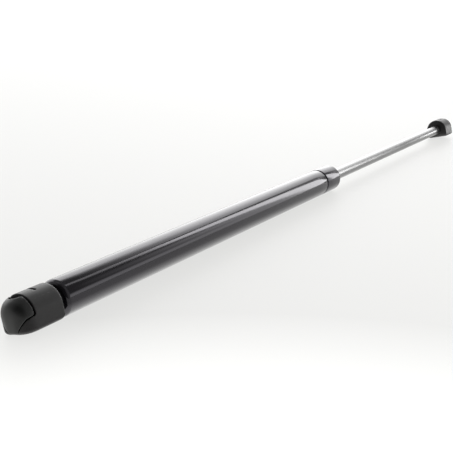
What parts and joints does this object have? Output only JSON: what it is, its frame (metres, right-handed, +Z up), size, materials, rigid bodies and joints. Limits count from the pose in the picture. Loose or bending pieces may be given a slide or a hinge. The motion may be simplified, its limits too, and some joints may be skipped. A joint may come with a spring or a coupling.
{
  "type": "gas strut stay",
  "caption": "Gas strut stay: a bright rod is pushed out of a gloss black pressure tube by gas force, with a clip-locked ball socket at each end.",
  "frame": {"origin": "on the floor under the middle of the strut's length and width", "axes": "+X along the strut from the tube's socket to the rod's socket, +Z up, with the strut lying on its tube and on the +Y lower edge of both sockets"},
  "size_m": [0.555, 0.0195, 0.018],
  "materials": {
    "tube_black_gloss": "gloss black stoved paint",
    "plug_steel": "turned, plain",
    "seal_rubber": "moulded, satin",
    "washer_steel": "stamped, plain",
    "guide_plastic": "moulded, satin",
    "wiper_plastic": "moulded, matt",
    "socket_nylon": "glass-filled moulding, fine texture",
    "insert_brass": "turned",
    "clip_steel": "blackened, satin",
    "ring_plastic": "moulded",
    "rod_steel": "ground and polished",
    "piston_alloy": "die-cast and turned"
  },
  "bodies": {
    "tube": {"pressure_tube": "tube_black_gloss", "end_plug": "plug_steel", "end_plug_o_ring": "seal_rubber", "seal_support_ring": "washer_steel", "rod_seal": "seal_rubber", "rod_guide": "guide_plastic", "guide_o_ring": "seal_rubber", "wiper_ring": "wiper_plastic", "tube_socket": "socket_nylon", "tube_socket_insert": "insert_brass"},
    "sliding_ring": {"piston_ring": "ring_plastic"},
    "rod": {"piston_rod": "rod_steel", "piston": "piston_alloy", "piston_front_washer": "washer_steel", "valve_disc": "washer_steel", "piston_back_washer": "washer_steel", "rod_socket": "socket_nylon", "rod_socket_insert": "insert_brass"},
    "tube_clip": {"tube_socket_clip": "clip_steel"},
    "rod_clip": {"rod_socket_clip": "clip_steel"}
  },
  "joints": [
    {"name": "rod_slide", "type": "slide", "parent": "tube", "child": "sliding_ring", "axis": [1, 0, 0], "range_m": [-0.22, 0], "stiffness_N_per_m": 136, "springref_m": 0.735},
    {"name": "rod_spin", "type": "hinge", "parent": "sliding_ring", "child": "rod", "pos_m": [0, 0.00057, 0.009], "axis": [1, 0, 0], "continuous": true},
    {"name": "tube_clip_release", "type": "slide", "parent": "tube", "child": "tube_clip", "axis": [-1, 0, 0], "range_m": [0, 0.003], "stiffness_N_per_m": 250},
    {"name": "rod_clip_release", "type": "slide", "parent": "rod", "child": "rod_clip", "axis": [1, 0, 0], "range_m": [0, 0.003], "stiffness_N_per_m": 250}
  ]
}
